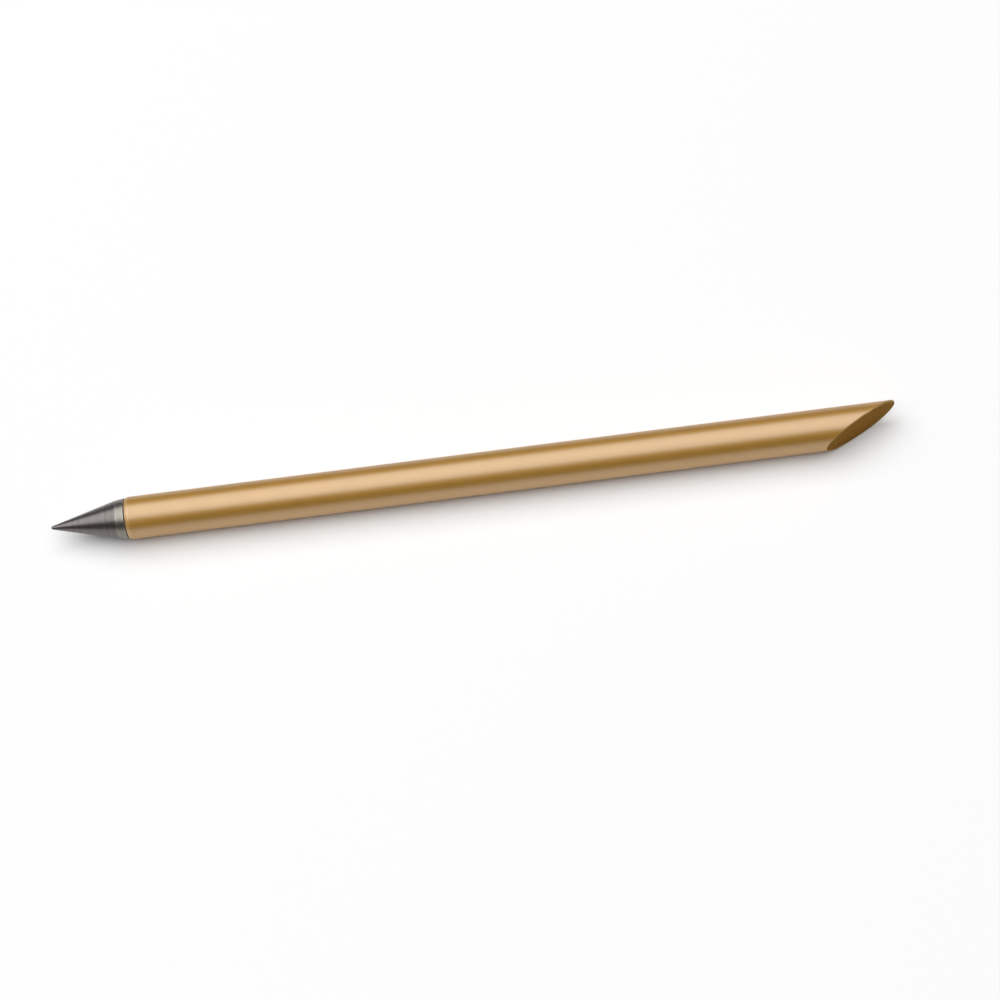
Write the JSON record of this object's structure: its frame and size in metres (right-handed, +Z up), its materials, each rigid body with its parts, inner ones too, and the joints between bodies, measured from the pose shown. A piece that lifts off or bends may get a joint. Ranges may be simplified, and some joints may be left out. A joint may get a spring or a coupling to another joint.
{
  "type": "inkless metal pencil",
  "caption": "Slim round metal pencil with a slanted tail, whose solid alloy writing point unscrews from the front of the barrel on a fine right-hand thread.",
  "frame": {"origin": "middle of the pencil's length, on the surface that it lies on, under its axis", "axes": "+X along the pencil from the point to the tail, +Y across it towards the long side of the slanted tail, +Z up from the surface that it lies on"},
  "size_m": [0.17, 0.0084, 0.0085],
  "materials": {
    "gold_aluminium": "gold anodised over fine bead blasting, satin",
    "bush_brass": "turned",
    "washer_rubber": "matt black",
    "turned_steel": "fine turned rings",
    "writing_alloy": "dark grey soft alloy, turned, satin"
  },
  "bodies": {
    "barrel": {"barrel": "gold_aluminium", "tail_plug": "gold_aluminium", "threaded_bush": "bush_brass"},
    "washer": {"tip_washer": "washer_rubber"},
    "tip": {"tip_holder": "turned_steel", "writing_tip": "writing_alloy"}
  },
  "joints": [
    {"name": "tip_advance", "type": "slide", "parent": "barrel", "child": "washer", "axis": [-1, 0, 0], "range_m": [0, 0.006]},
    {"name": "tip_unscrew", "type": "hinge", "parent": "washer", "child": "tip", "pos_m": [-0.0699, 0, 0.00425], "axis": [-1, 0, 0], "range_deg": [0, 2701]}
  ],
  "couplings": [
    {"joint": "tip_unscrew", "follows": "tip_advance", "rad_per_m": 7854}
  ]
}
